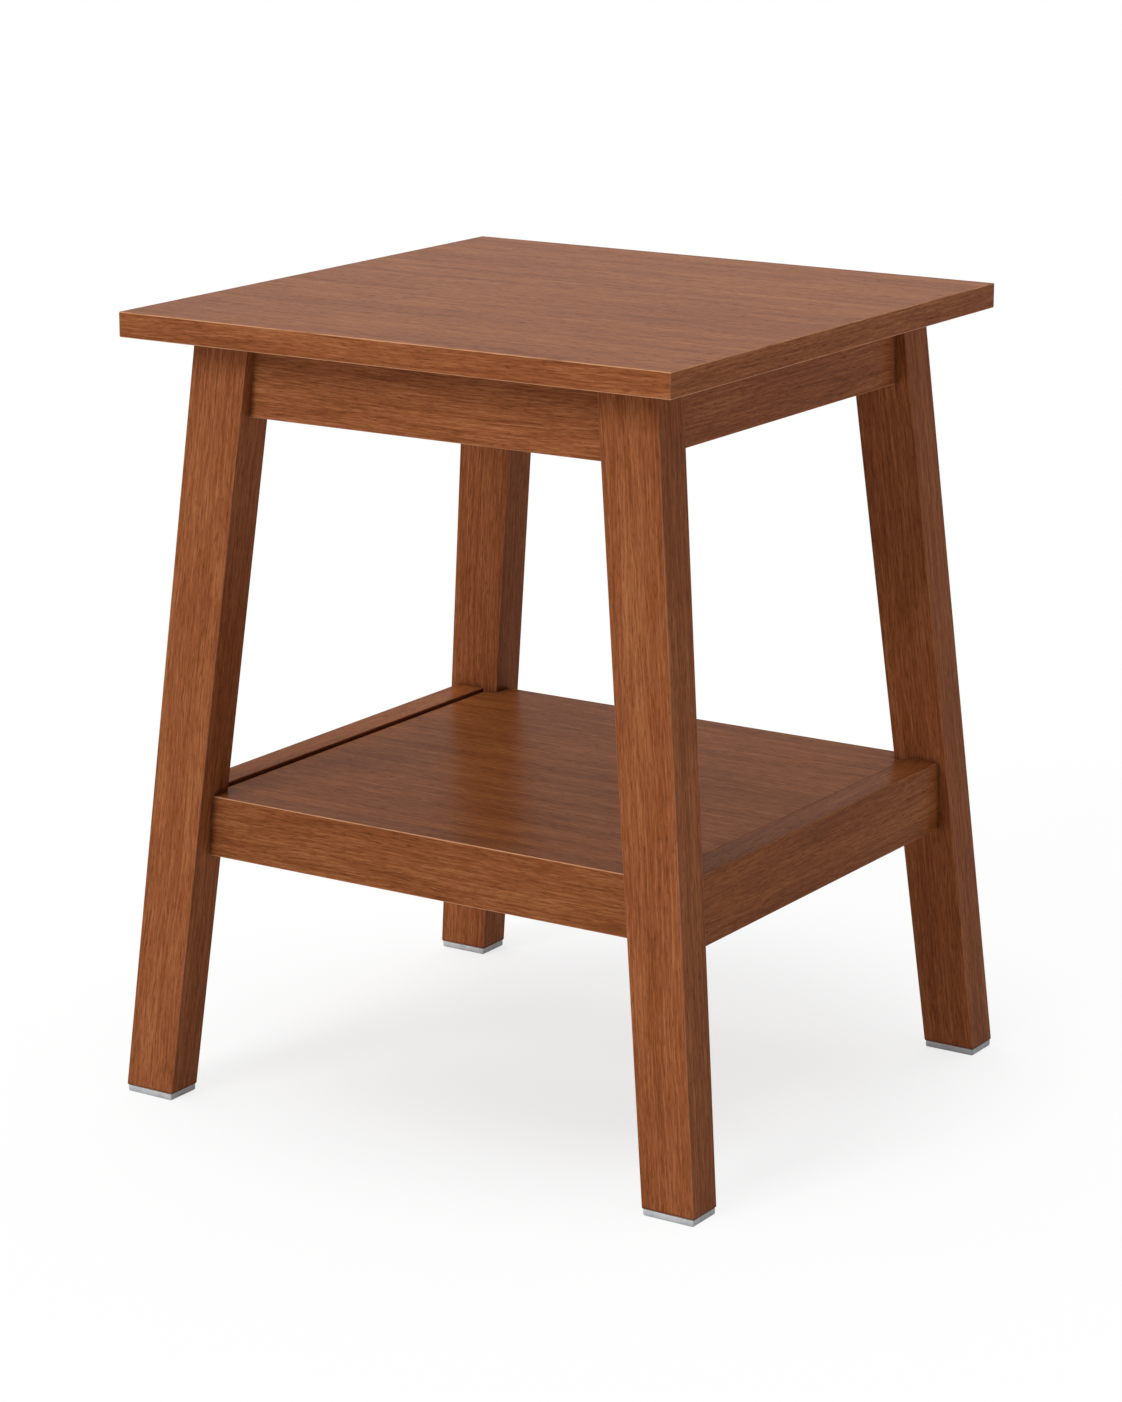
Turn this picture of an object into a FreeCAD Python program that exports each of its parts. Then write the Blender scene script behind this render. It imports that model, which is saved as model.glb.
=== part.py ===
import FreeCAD, Part
import math
import os

# An end table with a lower shelf: a veneered square top on four splayed, tapered legs,
# tied together by aprons under the top and by the rails that carry the shelf.
# Lengths are in millimetres. The table stands on z = 0, its centre is on the z axis,
# x runs from left to right and y from front to back.

# Table top: a veneered board with a band on each edge
table_height = 580.0
top_length = 450.0
top_depth = 450.0
top_thickness = 18.0
edge_band_thickness = 1.2
edge_band_arris = 1.0

# Legs: straight tapers between a section under the top and a foot section. The top overhangs the outer
# faces of the legs, and splay is how much further out those faces are at the foot.
# Widths run along x and depths along y.
top_overhang_x = 35.0
top_overhang_y = 40.0
leg_splay_x = 53.5
leg_splay_y = 33.0
leg_top_width = 47.0
leg_top_depth = 33.5
foot_width = 41.5
foot_depth = 30.5
leg_arris = 1.2

# Foot pads: moulded glides with a peg that is pushed into the end of the leg
pad_thickness = 5.0
pad_inset = 0.6
pad_arris = 1.5
pad_upper_arris = 0.4
pad_peg_diameter = 6.0
pad_peg_length = 12.0

# Aprons: set back from the outer faces of the legs, measured at the top of the legs.
# The front and back ones are a little taller than those at the sides.
apron_height = 56.5
side_apron_height = 50.0
apron_thickness = 20.0
apron_setback_x = 7.0
apron_setback_y = 8.0
board_arris = 1.0

# Shelf: the panel passes behind the legs, its front and back edges lie on the ledges of rabbeted
# rails, and its ends lie on cleats along the side rails. Its face lies level with the back rail, and a
# little below the tops of the front and side rails. Setbacks are from the outer faces of the legs at
# the height of the shelf.
shelf_height = 229.0
shelf_panel_drop = 2.0
shelf_panel_thickness = 16.0
shelf_panel_arris = 0.6
shelf_side_gap = 3.0
shelf_leg_clearance = 1.6
shelf_rail_height = 45.0
shelf_rail_ledge = 8.0
shelf_rail_setback = 14.0
side_rail_height = 52.0
side_rail_thickness = 24.0
side_rail_setback = 6.5
cleat_width = 18.0
cleat_height = 18.0
cleat_end_gap = 2.0

# Dowels: every rail and apron end is held by two, given by their distance from its edges.
# The two rails that meet in a leg have theirs at different heights, so that they pass each other.
dowel_diameter = 6.0
dowel_length = 30.0
dowel_chamfer = 0.8
apron_dowel_low = 8.0
apron_dowel_high = 15.0
side_apron_dowel_low = 12.0
side_apron_dowel_high = 7.0
shelf_rail_dowel_low = 12.0
shelf_rail_dowel_high = 8.0
side_rail_dowel_low = 9.0
side_rail_dowel_high = 17.0

# Corner brackets: folded steel, screwed to two aprons and to the top, with a bolt into the leg
bracket_thickness = 2.0
bracket_height = 40.0
bracket_flange_length = 28.0
bracket_leg_gap = 12.0
bracket_bend = 2.0
bracket_tab_width = 26.0
bracket_tab_depth = 20.0
bracket_screw_shares = (0.25, 0.75)
bolt_diameter = 6.0
bolt_leg_depth = 25.0
bolt_tip = 4.0
bolt_chamfer = 0.8
washer_diameter = 16.0
washer_thickness = 1.6
nut_width = 10.0
nut_height = 5.0

# Wood screws: pan heads on the brackets, countersunk heads in the cleats
screw_diameter = 3.5
screw_tip = 4.0
pan_head_diameter = 7.0
pan_head_height = 2.4
pan_bevel_share = 0.45
sunk_head_diameter = 7.0
sunk_head_height = 2.2
bracket_screw_bite = 13.0
top_screw_bite = 12.0
cleat_screw_bite = 12.0
shelf_screw_bite = 10.0
cleat_screw_shares = (-0.75, 0.0, 0.75)
shelf_screw_shares = (-0.4, 0.4)

# Fits: the room round a pin, the room past its end, and how far a cut runs past a face
fit_clearance = 0.05
hole_end_gap = 0.5
overrun = 5.0

# Levels that follow from the sizes
frame_top = table_height - top_thickness
apron_bottom = frame_top - apron_height
side_apron_bottom = frame_top - side_apron_height
shelf_rail_bottom = shelf_height - shelf_rail_height
side_rail_bottom = shelf_height - side_rail_height
shelf_panel_top = shelf_height - shelf_panel_drop
shelf_panel_bottom = shelf_panel_top - shelf_panel_thickness
cleat_bottom = shelf_panel_bottom - cleat_height

origin = FreeCAD.Vector(0, 0, 0)
along_x = FreeCAD.Vector(1, 0, 0)
along_y = FreeCAD.Vector(0, 1, 0)
upwards = FreeCAD.Vector(0, 0, 1)
outwards = FreeCAD.Vector(1, 1, 0).normalize()
sideways = FreeCAD.Vector(1, -1, 0).normalize()

corners = {
    "front_left": (-1, -1),
    "front_right": (1, -1),
    "back_right": (1, 1),
    "back_left": (-1, 1),
}


def leg_face(at_foot, at_top):
    """Distance of a leg's face from the middle of the table, as a function of height."""
    def distance(z):
        return at_foot + (at_top - at_foot) * (z - pad_thickness) / (frame_top - pad_thickness)
    return distance


leg_top_x = top_length / 2 - top_overhang_x
leg_top_y = top_depth / 2 - top_overhang_y
foot_x = leg_top_x + leg_splay_x
foot_y = leg_top_y + leg_splay_y
leg_outer_x = leg_face(foot_x, leg_top_x)
leg_outer_y = leg_face(foot_y, leg_top_y)
leg_inner_x = leg_face(foot_x - foot_width, leg_top_x - leg_top_width)
leg_inner_y = leg_face(foot_y - foot_depth, leg_top_y - leg_top_depth)

# Faces of the aprons, rails and shelf, as distances from the middle of the table
apron_outer_x = leg_outer_x(frame_top) - apron_setback_x
apron_outer_y = leg_outer_y(frame_top) - apron_setback_y
apron_inner_x = apron_outer_x - apron_thickness
apron_inner_y = apron_outer_y - apron_thickness
side_rail_outer = leg_outer_x(shelf_height) - side_rail_setback
side_rail_inner = side_rail_outer - side_rail_thickness
shelf_rail_outer = leg_outer_y(shelf_height) - shelf_rail_setback
shelf_half_length = side_rail_inner - shelf_side_gap
shelf_half_depth = leg_inner_y(shelf_height) - shelf_leg_clearance
shelf_rail_inner = shelf_half_depth - shelf_rail_ledge
cleat_half_length = shelf_rail_inner - cleat_end_gap
cleat_inner = side_rail_inner - cleat_width


def point(x, y, z):
    return FreeCAD.Vector(x, y, z)


def block(low, high):
    size = high - low
    return Part.makeBox(size.x, size.y, size.z, low)


def prism(outline, sweep):
    return Part.Face(Part.makePolygon(outline + outline[:1])).extrude(sweep)


def pin(start, axis, diameter, length):
    return Part.makeCylinder(diameter / 2, length, start, axis)


def turned(profile):
    """Solid of revolution about z, from an outline of radii and heights."""
    outline = [point(radius, 0, height) for radius, height in profile]
    face = Part.Face(Part.makePolygon(outline + outline[:1]))
    return face.revolve(origin, upwards, 360)


def placed(shape, start, axis):
    copy = shape.copy()
    copy.Placement = FreeCAD.Placement(start, FreeCAD.Rotation(upwards, axis))
    return copy


def in_corner(shape, signs):
    """A shape of the back right corner, mirrored into another corner."""
    for sign, axis in zip(signs, (along_x, along_y)):
        if sign < 0:
            shape = shape.mirror(origin, axis)
    return shape


def in_corners(shapes, wanted=corners.values()):
    return [in_corner(shape, signs) for signs in wanted for shape in shapes]


def left_and_right(shapes):
    return in_corners(shapes, ((1, 1), (-1, 1)))


def front_and_back(shapes):
    return in_corners(shapes, ((1, 1), (1, -1)))


def round_edges(shape, radius, chosen):
    edges = [edge for edge in shape.Edges if chosen(edge)]
    return shape.makeFillet(radius, edges)


def runs_along(axis):
    """A test for straight edges that run more along an axis than across it."""
    def test(edge):
        return abs(edge.tangentAt(edge.FirstParameter).dot(axis)) > math.cos(math.radians(45))
    return test


def stands_at(places):
    """A test for upright edges that stand on any of some points."""
    upright = runs_along(upwards)
    def test(edge):
        return upright(edge) and any(edge.Vertexes[0].Point.distanceToLine(place, upwards) < fit_clearance
                                     for place in places)
    return test


def between_legs(board, run, inner_face, low, high):
    """Trim a board that runs from leg to leg to their slanted inner faces."""
    outline = []
    for sign, z in ((-1, low - overrun), (1, low - overrun), (1, high + overrun), (-1, high + overrun)):
        outline.append(run * (sign * inner_face(z)) + upwards * z)
    sweep = (along_x + along_y - run) * table_height
    return board.common(prism([corner - sweep for corner in outline], sweep * 2))


def dowel_places():
    """Middle and axis of each dowel of the back right corner, by the kind of board it holds."""
    apron_x = (apron_outer_x + apron_inner_x) / 2
    apron_y = (apron_outer_y + apron_inner_y) / 2
    side_rail_x = (side_rail_outer + side_rail_inner) / 2
    shelf_rail_y = (shelf_rail_outer + leg_inner_y(shelf_rail_bottom)) / 2
    places = {}
    places["apron"] = [
        (point(leg_inner_x(z), apron_y, z), along_x)
        for z in (apron_bottom + apron_dowel_low, frame_top - apron_dowel_high)
    ]
    places["side_apron"] = [
        (point(apron_x, leg_inner_y(z), z), along_y)
        for z in (side_apron_bottom + side_apron_dowel_low, frame_top - side_apron_dowel_high)
    ]
    places["shelf_rail"] = [
        (point(leg_inner_x(z), shelf_rail_y, z), along_x)
        for z in (shelf_rail_bottom + shelf_rail_dowel_low, shelf_height - shelf_rail_dowel_high)
    ]
    places["side_rail"] = [
        (point(side_rail_x, leg_inner_y(z), z), along_y)
        for z in (side_rail_bottom + side_rail_dowel_low, shelf_height - side_rail_dowel_high)
    ]
    return places


def dowel(middle, axis):
    blank = pin(middle - axis * (dowel_length / 2), axis, dowel_diameter, dowel_length)
    rims = [edge for edge in blank.Edges if edge.isClosed()]
    return blank.makeChamfer(dowel_chamfer, rims)


def dowel_hole(middle, axis):
    length = dowel_length + 2 * hole_end_gap
    return pin(middle - axis * (length / 2), axis, dowel_diameter + 2 * fit_clearance, length)


dowels = {board: [dowel(*place) for place in found] for board, found in dowel_places().items()}
dowel_holes = {board: [dowel_hole(*place) for place in found] for board, found in dowel_places().items()}


# Corner bracket, in the back right corner: a web across the corner, square to the bolt, with a flange
# on each apron and a tab under the top. The bolt enters the leg midway between the apron ends.
bolt_height = (side_apron_bottom + side_apron_dowel_low + frame_top - apron_dowel_high) / 2
bolt_entry_x = (leg_inner_x(bolt_height) + apron_inner_x) / 2
bolt_entry_y = (leg_inner_y(bolt_height) + apron_inner_y) / 2
bolt_entry = point(bolt_entry_x, bolt_entry_y, bolt_height)
web_reach = leg_inner_x(frame_top) + leg_inner_y(frame_top) - bracket_leg_gap * math.sqrt(2)
bolt_to_web = (bolt_entry.x + bolt_entry.y - web_reach) / math.sqrt(2)
bolt_at_web = bolt_entry - outwards * (bolt_to_web + bracket_thickness)
web_start_x = web_reach - apron_inner_y
web_start_y = web_reach - apron_inner_x
web_middle = point((web_start_x + apron_inner_x) / 2, (web_start_y + apron_inner_y) / 2, frame_top)
tab_screw_place = web_middle - outwards * (bracket_thickness + bracket_tab_depth / 2)
bracket_bottom = frame_top - bracket_height
flange_screw_height = bracket_bottom + bracket_height / 2
flange_screw_places = []
for share in bracket_screw_shares:
    step = bracket_flange_length * share
    on_apron = point(web_start_x - step, apron_inner_y - bracket_thickness, flange_screw_height)
    on_side = point(apron_inner_x - bracket_thickness, web_start_y - step, flange_screw_height)
    flange_screw_places += [(on_apron, along_y), (on_side, along_x)]


def corner_bracket():
    fold = bracket_thickness * math.tan(math.radians(22.5))
    inner_x = apron_inner_x - bracket_thickness
    inner_y = apron_inner_y - bracket_thickness
    outline = [
        point(web_start_x - bracket_flange_length, apron_inner_y, bracket_bottom),
        point(web_start_x, apron_inner_y, bracket_bottom),
        point(apron_inner_x, web_start_y, bracket_bottom),
        point(apron_inner_x, web_start_y - bracket_flange_length, bracket_bottom),
        point(inner_x, web_start_y - bracket_flange_length, bracket_bottom),
        point(inner_x, web_start_y - fold, bracket_bottom),
        point(web_start_x - fold, inner_y, bracket_bottom),
        point(web_start_x - bracket_flange_length, inner_y, bracket_bottom),
    ]
    strip = prism(outline, upwards * bracket_height)
    strip = round_edges(strip, bracket_bend + bracket_thickness, stands_at(outline[1:3]))
    strip = round_edges(strip, bracket_bend, stands_at(outline[5:7]))
    half_width = sideways * (bracket_tab_width / 2)
    depth = outwards * (bracket_thickness + bracket_tab_depth)
    tab_outline = [
        web_middle - half_width,
        web_middle + half_width,
        web_middle + half_width - depth,
        web_middle - half_width - depth,
    ]
    tab = prism(tab_outline, upwards * -bracket_thickness)
    bracket = strip.fuse(tab).removeSplitter()
    through = bracket_thickness + 2 * overrun
    wide = screw_diameter + 2 * fit_clearance
    holes = [pin(bolt_at_web - outwards * overrun, outwards, bolt_diameter + 2 * fit_clearance, through)]
    holes.append(pin(tab_screw_place - upwards * overrun, upwards, wide, through))
    for place, axis in flange_screw_places:
        holes.append(pin(place - axis * overrun, axis, wide, through))
    return bracket.cut(holes)


def hanger_bolt():
    tail = washer_thickness + nut_height + bolt_tip
    start = bolt_at_web - outwards * tail
    length = tail + bracket_thickness + bolt_to_web + bolt_leg_depth
    blank = pin(start, outwards, bolt_diameter, length)
    rims = [edge for edge in blank.Edges if edge.isClosed()]
    return blank.makeChamfer(bolt_chamfer, rims)


def bolt_hole():
    depth = bracket_thickness + bolt_to_web + bolt_leg_depth + hole_end_gap
    return pin(bolt_at_web, outwards, bolt_diameter + 2 * fit_clearance, depth)


def bolt_washer():
    start = bolt_at_web - outwards * washer_thickness
    disc = pin(start, outwards, washer_diameter, washer_thickness)
    return disc.cut(pin(start, outwards, bolt_diameter + 2 * fit_clearance, washer_thickness))


def bolt_nut():
    start = bolt_at_web - outwards * (washer_thickness + nut_height)
    radius = nut_width / 2 / math.cos(math.radians(30))
    outline = []
    for corner in range(6):
        angle = math.radians(60 * corner)
        outline.append(point(radius * math.cos(angle), radius * math.sin(angle), 0))
    nut = placed(prism(outline, upwards * nut_height), start, outwards)
    return nut.cut(pin(start, outwards, bolt_diameter + 2 * fit_clearance, nut_height))


def pan_screw(length):
    """Screw along z whose head seats at z = 0."""
    head = pan_head_diameter / 2
    shank = screw_diameter / 2
    bevel = pan_head_height * pan_bevel_share
    profile = [(0, -pan_head_height), (head - bevel, -pan_head_height), (head, bevel - pan_head_height)]
    profile += [(head, 0), (shank, 0), (shank, length - screw_tip), (0, length)]
    return turned(profile)


def sunk_screw(length, room=0.0):
    """Screw along z whose head is flush at z = 0. With some room it makes its own hole."""
    head = sunk_head_diameter / 2 + room
    shank = screw_diameter / 2 + room
    profile = [(0, 0), (head, 0), (shank, sunk_head_height), (shank, length - screw_tip), (0, length)]
    return turned(profile)


def pan_hole(start, axis, length):
    return pin(start, axis, screw_diameter + 2 * fit_clearance, length + hole_end_gap)


bracket_screw_length = bracket_thickness + bracket_screw_bite
top_screw_length = bracket_thickness + top_screw_bite
cleat_screw_length = cleat_width + cleat_screw_bite
shelf_screw_length = cleat_height + shelf_screw_bite

tab_screw_start = tab_screw_place - upwards * bracket_thickness
top_screw = placed(pan_screw(top_screw_length), tab_screw_start, upwards)
top_screw_hole = pan_hole(tab_screw_start, upwards, top_screw_length)
bracket_screws = [placed(pan_screw(bracket_screw_length), *place) for place in flange_screw_places]
apron_screw_holes = [pan_hole(*place, bracket_screw_length) for place in flange_screw_places]

# Screws of the right cleat: sideways into its rail, and upwards into the shelf panel
cleat_middle_z = cleat_bottom + cleat_height / 2
cleat_middle_x = cleat_inner + cleat_width / 2
cleat_screw_places = [
    (point(cleat_inner, cleat_half_length * share, cleat_middle_z), along_x) for share in cleat_screw_shares
]
shelf_screw_places = [
    (point(cleat_middle_x, cleat_half_length * share, cleat_bottom), upwards) for share in shelf_screw_shares
]
cleat_screws = [placed(sunk_screw(cleat_screw_length), *place) for place in cleat_screw_places]
shelf_screws = [placed(sunk_screw(shelf_screw_length), *place) for place in shelf_screw_places]
cleat_screw_hole = sunk_screw(cleat_screw_length + hole_end_gap, fit_clearance)
shelf_screw_hole = sunk_screw(shelf_screw_length + hole_end_gap, fit_clearance)
cleat_screw_holes = [placed(cleat_screw_hole, *place) for place in cleat_screw_places]
shelf_screw_holes = [placed(shelf_screw_hole, *place) for place in shelf_screw_places]


def table_top():
    """The top as one board with rounded arrises, then parted into the panel and its bands."""
    low = point(-top_length / 2, -top_depth / 2, frame_top)
    high = point(top_length / 2, top_depth / 2, table_height)
    whole = block(low, high)
    whole = whole.makeFillet(edge_band_arris, whole.Edges)
    band_x = along_x * edge_band_thickness
    band_y = along_y * edge_band_thickness
    run_x = along_x * top_length
    run_y = along_y * top_depth
    panel = whole.common(block(low + band_x + band_y, high - band_x - band_y))
    pieces = {"table_top_panel": panel.cut(in_corners([top_screw_hole]))}
    pieces["top_edge_band_front"] = whole.common(block(low, high - run_y + band_y))
    pieces["top_edge_band_back"] = whole.common(block(low + run_y - band_y, high))
    pieces["top_edge_band_left"] = whole.common(block(low + band_y, high - band_y - run_x + band_x))
    pieces["top_edge_band_right"] = whole.common(block(low + band_y + run_x - band_x, high - band_y))
    return pieces


def leg_blank():
    """A leg of the back right corner with square arrises: a wedge that is made lying, then stood up."""
    low = pad_thickness
    high = frame_top
    lying = Part.makeWedge(
        leg_inner_x(low), low, -leg_outer_y(low), -leg_outer_y(high), leg_inner_x(high),
        leg_outer_x(low), high, -leg_inner_y(low), -leg_inner_y(high), leg_outer_x(high),
    )
    return lying.rotated(origin, along_x, 90)


def pad_peg(room=0.0, end_gap=0.0):
    middle_x = (leg_outer_x(pad_thickness) + leg_inner_x(pad_thickness)) / 2
    middle_y = (leg_outer_y(pad_thickness) + leg_inner_y(pad_thickness)) / 2
    start = point(middle_x, middle_y, pad_thickness)
    return pin(start, upwards, pad_peg_diameter + 2 * room, pad_peg_length + end_gap)


def leg():
    blank = round_edges(leg_blank(), leg_arris, lambda edge: edge.BoundBox.ZMin < frame_top / 2)
    holes = [hole for found in dowel_holes.values() for hole in found]
    holes += [bolt_hole(), pad_peg(fit_clearance, hole_end_gap)]
    return blank.cut(holes)


def foot_pad():
    low = point(leg_inner_x(pad_thickness), leg_inner_y(pad_thickness), 0)
    high = point(leg_outer_x(pad_thickness), leg_outer_y(pad_thickness), pad_thickness)
    inset = (along_x + along_y) * pad_inset
    pad = block(low + inset, high - inset)
    middle = pad_thickness / 2
    pad = round_edges(pad, pad_arris, lambda edge: edge.BoundBox.ZMin < middle)
    pad = round_edges(pad, pad_upper_arris, lambda edge: edge.BoundBox.ZMin > middle)
    return pad.fuse(pad_peg())


def apron(run, inner_face, inner, outer, bottom, holes):
    """The apron of the back or right side, with its lower arrises rounded."""
    across = along_x + along_y - run
    half = inner_face(bottom) + overrun
    low = across * inner - run * half + upwards * bottom
    board = block(low, across * outer + run * half + upwards * frame_top)
    lengthwise = runs_along(run)
    board = round_edges(board, board_arris, lambda edge: lengthwise(edge) and edge.BoundBox.ZMax < frame_top)
    return between_legs(board, run, inner_face, bottom, frame_top).cut(holes)


def back_apron():
    holes = left_and_right(dowel_holes["apron"] + apron_screw_holes)
    return apron(along_x, leg_inner_x, apron_inner_y, apron_outer_y, apron_bottom, holes)


def right_apron():
    holes = front_and_back(dowel_holes["side_apron"] + apron_screw_holes)
    return apron(along_y, leg_inner_y, apron_inner_x, apron_outer_x, side_apron_bottom, holes)


def back_shelf_rail(top):
    """The shelf rail of the back side, up to a level: a board with a rabbet for the panel."""
    half = leg_inner_x(shelf_rail_bottom) + overrun
    outline = [
        point(-half, shelf_rail_outer, shelf_rail_bottom),
        point(-half, shelf_rail_outer, top),
        point(-half, shelf_half_depth, top),
        point(-half, shelf_half_depth, shelf_panel_bottom),
        point(-half, shelf_rail_inner, shelf_panel_bottom),
        point(-half, shelf_rail_inner, shelf_rail_bottom),
    ]
    board = prism(outline, along_x * (2 * half))
    lengthwise = runs_along(along_x)
    rabbet = (shelf_half_depth + shelf_rail_outer) / 2
    board = round_edges(board, board_arris, lambda edge: lengthwise(edge) and edge.BoundBox.YMin > rabbet)
    board = between_legs(board, along_x, leg_inner_x, shelf_rail_bottom, top)
    return board.cut(left_and_right(dowel_holes["shelf_rail"]))


def right_side_rail():
    half = leg_inner_y(side_rail_bottom) + overrun
    low = point(side_rail_inner, -half, side_rail_bottom)
    board = block(low, point(side_rail_outer, half, shelf_height))
    board = round_edges(board, board_arris, runs_along(along_y))
    board = between_legs(board, along_y, leg_inner_y, side_rail_bottom, shelf_height)
    return board.cut(front_and_back(dowel_holes["side_rail"]) + cleat_screw_holes)


def right_cleat():
    low = point(cleat_inner, -cleat_half_length, cleat_bottom)
    strip = block(low, point(side_rail_inner, cleat_half_length, shelf_panel_bottom))
    return strip.cut(cleat_screw_holes + shelf_screw_holes)


def shelf_panel():
    low = point(-shelf_half_length, -shelf_half_depth, shelf_panel_bottom)
    board = block(low, point(shelf_half_length, shelf_half_depth, shelf_panel_top))
    across = runs_along(along_y)
    upper = shelf_panel_bottom + shelf_panel_thickness / 2
    board = round_edges(board, shelf_panel_arris, lambda edge: across(edge) and edge.BoundBox.ZMin > upper)
    return board.cut(left_and_right(shelf_screw_holes))


nodes = table_top()

for name, signs in corners.items():
    nodes["leg_" + name] = in_corner(leg(), signs)
    nodes["foot_pad_" + name] = in_corner(foot_pad(), signs)
    nodes["corner_bracket_" + name] = in_corner(corner_bracket(), signs)

for name, sign, rail_top in (("front", -1, shelf_height), ("back", 1, shelf_panel_top)):
    nodes["apron_" + name] = in_corner(back_apron(), (1, sign))
    nodes["shelf_rail_" + name] = in_corner(back_shelf_rail(rail_top), (1, sign))

for name, sign in (("left", -1), ("right", 1)):
    nodes["apron_" + name] = in_corner(right_apron(), (sign, 1))
    nodes["side_rail_" + name] = in_corner(right_side_rail(), (sign, 1))
    nodes["shelf_cleat_" + name] = in_corner(right_cleat(), (sign, 1))

nodes["shelf_panel"] = shelf_panel()

# Small pieces that are all alike are kept together, as separate solids of one group
groups = {
    "apron_dowels": in_corners(dowels["apron"] + dowels["side_apron"]),
    "shelf_rail_dowels": in_corners(dowels["shelf_rail"]),
    "side_rail_dowels": in_corners(dowels["side_rail"]),
    "hanger_bolts": in_corners([hanger_bolt()]),
    "bolt_washers": in_corners([bolt_washer()]),
    "bolt_nuts": in_corners([bolt_nut()]),
    "bracket_screws": in_corners(bracket_screws),
    "top_screws": in_corners([top_screw]),
    "cleat_screws": left_and_right(cleat_screws),
    "shelf_screws": left_and_right(shelf_screws),
}
for name, solids in groups.items():
    nodes[name] = Part.Compound(solids)

os.makedirs("parts", exist_ok=True)
for name, shape in nodes.items():
    shape.exportStep("parts/" + name + ".step")
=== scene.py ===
import itertools
import math

import bmesh
import bpy
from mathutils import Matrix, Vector


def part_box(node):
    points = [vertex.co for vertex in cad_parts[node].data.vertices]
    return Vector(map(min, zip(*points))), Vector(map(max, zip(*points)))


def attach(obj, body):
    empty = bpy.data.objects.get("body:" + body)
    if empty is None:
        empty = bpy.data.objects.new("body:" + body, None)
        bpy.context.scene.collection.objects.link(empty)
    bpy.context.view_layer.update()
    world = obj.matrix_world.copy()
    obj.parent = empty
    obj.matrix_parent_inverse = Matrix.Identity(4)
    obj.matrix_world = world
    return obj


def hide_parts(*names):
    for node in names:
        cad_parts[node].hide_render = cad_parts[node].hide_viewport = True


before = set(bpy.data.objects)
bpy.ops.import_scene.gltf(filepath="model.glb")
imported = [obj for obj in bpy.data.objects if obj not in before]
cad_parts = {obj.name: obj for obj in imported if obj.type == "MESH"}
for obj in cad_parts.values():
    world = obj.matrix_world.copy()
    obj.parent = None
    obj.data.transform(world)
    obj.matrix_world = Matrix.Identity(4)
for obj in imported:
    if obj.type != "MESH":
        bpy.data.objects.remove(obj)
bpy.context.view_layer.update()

# Legs: four solid hardwood legs, tapered and splayed both ways, with sanded arrises. The grain runs up
# each leg. Stained red-brown and sprayed with satin lacquer, as all the boards of the table are, so the
# finish is described here for every board that follows.
MM = 0.001
CORNERS = ("front_left", "front_right", "back_right", "back_left")
STAIN_DARK = "#6c3a1f"
STAIN_MIDDLE = "#894f2e"
STAIN_LIGHT = "#a26741"
STAIN_MEAN = 0.50
STAIN_SPREAD = 0.14
# Painted highlight: the lighter colour given to the arrises, how it comes in over the turn of an arris, and
# its patches
ARRIS_HIGHLIGHT = "#c08c68"
ARRIS_FLAT = 0.985
ARRIS_TURNED = 0.86
ARRIS_LEVEL = 0.4
ARRIS_UPRIGHT_HIGHLIGHT = 0.12
ARRIS_HIGHLIGHT_PATCH_GAIN = 2.4
# Painted shade in inner corners, from how closed in each point is
INNER_CORNER_REACH = 5 * MM
INNER_CORNER_CLOSED = 0.45
INNER_CORNER_SHADE = 0.65
INNER_CORNER_SAMPLES = 8
# A leg is darker in a thin band just above its foot
FOOT_BAND_REACH = 2.6 * MM
FOOT_BAND_SHARE = 0.45
END_REACH = 1 * MM
PORE_SHADE = 0.66
PORE_FROM = 0.56
PORE_TO = 0.70
LACQUER_ROUGHNESS = 0.28
PORE_ROUGHNESS = 0.40
LACQUER_SPECULAR = 0.02
GRAIN_RELIEF = 0.03 * MM
GRAIN_RELIEF_SHARE = 0.5
BOARD_STEP = Vector((310, 47, 71)) * MM
# Length and width of each mark in millimetres, and the detail and roughness of its noise. A wander also
# has its reach in millimetres, which is how far it leads the grain astray.
WANDERS = (((220, 60, 1, 0.5), 10), ((28, 9, 1, 0.5), 1.6))
BAND_MARK, BAND_WEIGHT = (260, 14, 2, 0.5), 0.22
LINE_MARK, LINE_WEIGHT = (70, 1.6, 2, 0.6), 0.39
FIBRE_MARK, FIBRE_WEIGHT = (14, 0.8, 2, 0.6), 0.39
PORE_MARK = (7, 0.7, 1, 0.5)
PATCH_MARK = (18, 4, 1, 0.5)
# A leg's tone, figure share and share of painted arris highlight
LEG_TONE, LEG_FIGURE, LEG_ARRIS_HIGHLIGHT = (0.98, 0.97, 0.97), 0.95, 0.25


def linear(colour):
    """A hex sRGB colour as linear red, green, blue and alpha."""
    channels = [int(colour[i:i + 2], 16) / 255 for i in (1, 3, 5)]
    return [c / 12.92 if c <= 0.04045 else ((c + 0.055) / 1.055) ** 2.4 for c in channels] + [1.0]


def add_node(tree, kind, inputs=None, **settings):
    """Add a node with its settings; an input is a value, or the output or outputs that it is linked to."""
    node = tree.nodes.new(kind)
    for name, value in settings.items():
        setattr(node, name, value)
    for name, value in (inputs or {}).items():
        socket = next(s for s in node.inputs if name in (s.identifier, s.name))
        sources = value if isinstance(value, list) else [value]
        if isinstance(sources[0], bpy.types.NodeSocket):
            for source in sources:
                tree.links.new(source, socket)
        else:
            socket.default_value = value
    return node


def output(node, identifier):
    """A node's output by its identifier, where several outputs share a name."""
    return next(socket for socket in node.outputs if socket.identifier == identifier)


def new_material(name):
    """A material, its node tree and the shader that it ends in."""
    material = bpy.data.materials.new(name)
    material.use_nodes = True
    return material, material.node_tree, material.node_tree.nodes["Principled BSDF"]


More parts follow.
